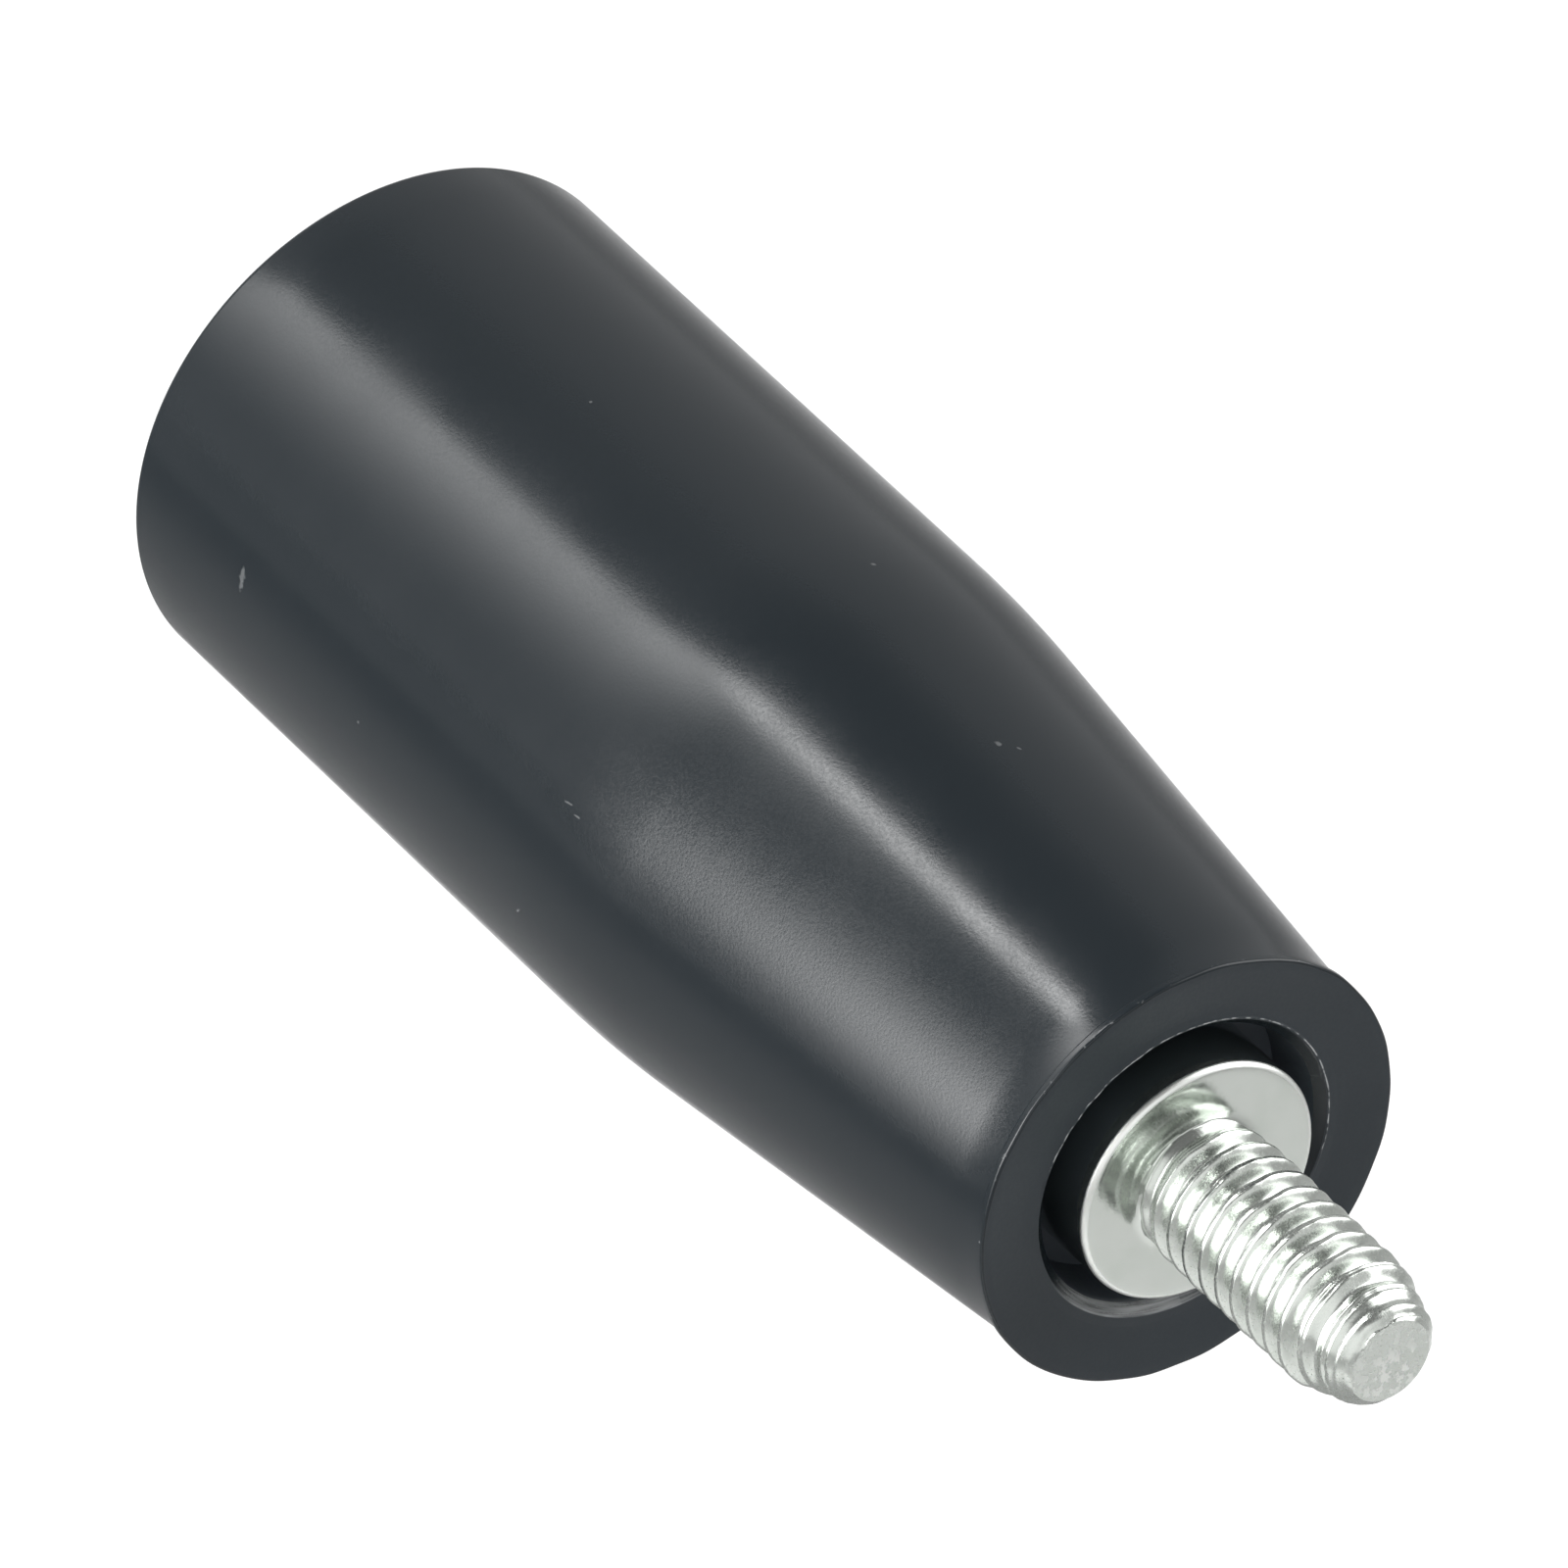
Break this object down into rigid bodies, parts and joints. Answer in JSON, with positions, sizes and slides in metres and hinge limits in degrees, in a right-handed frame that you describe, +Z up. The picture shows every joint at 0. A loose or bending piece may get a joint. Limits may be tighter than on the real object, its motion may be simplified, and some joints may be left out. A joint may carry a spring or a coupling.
{
  "type": "revolving machine handle",
  "caption": "Revolving machine handle: a smooth tapered plastic grip that turns freely on a plated steel spindle with a threaded stud and a seating collar.",
  "frame": {"origin": "centre of the collar's seating face, on the spindle's axis", "axes": "+X along the threaded stud towards its tip, with the grip on the -X side; +Z up, as on a wheel with a vertical face"},
  "size_m": [0.0658, 0.022, 0.022],
  "materials": {
    "grip_plastic": "black moulded thermoplastic, satin",
    "plated_steel": "turned steel, bright zinc plated",
    "spring_steel": "stamped spring steel, dark phosphated"
  },
  "bodies": {
    "spindle": {"spindle": "plated_steel", "retaining_ring": "spring_steel"},
    "grip": {"grip": "grip_plastic"}
  },
  "joints": [
    {"name": "grip_spin", "type": "hinge", "parent": "spindle", "child": "grip", "pos_m": [0, 0, 0], "axis": [1, 0, 0], "continuous": true}
  ]
}
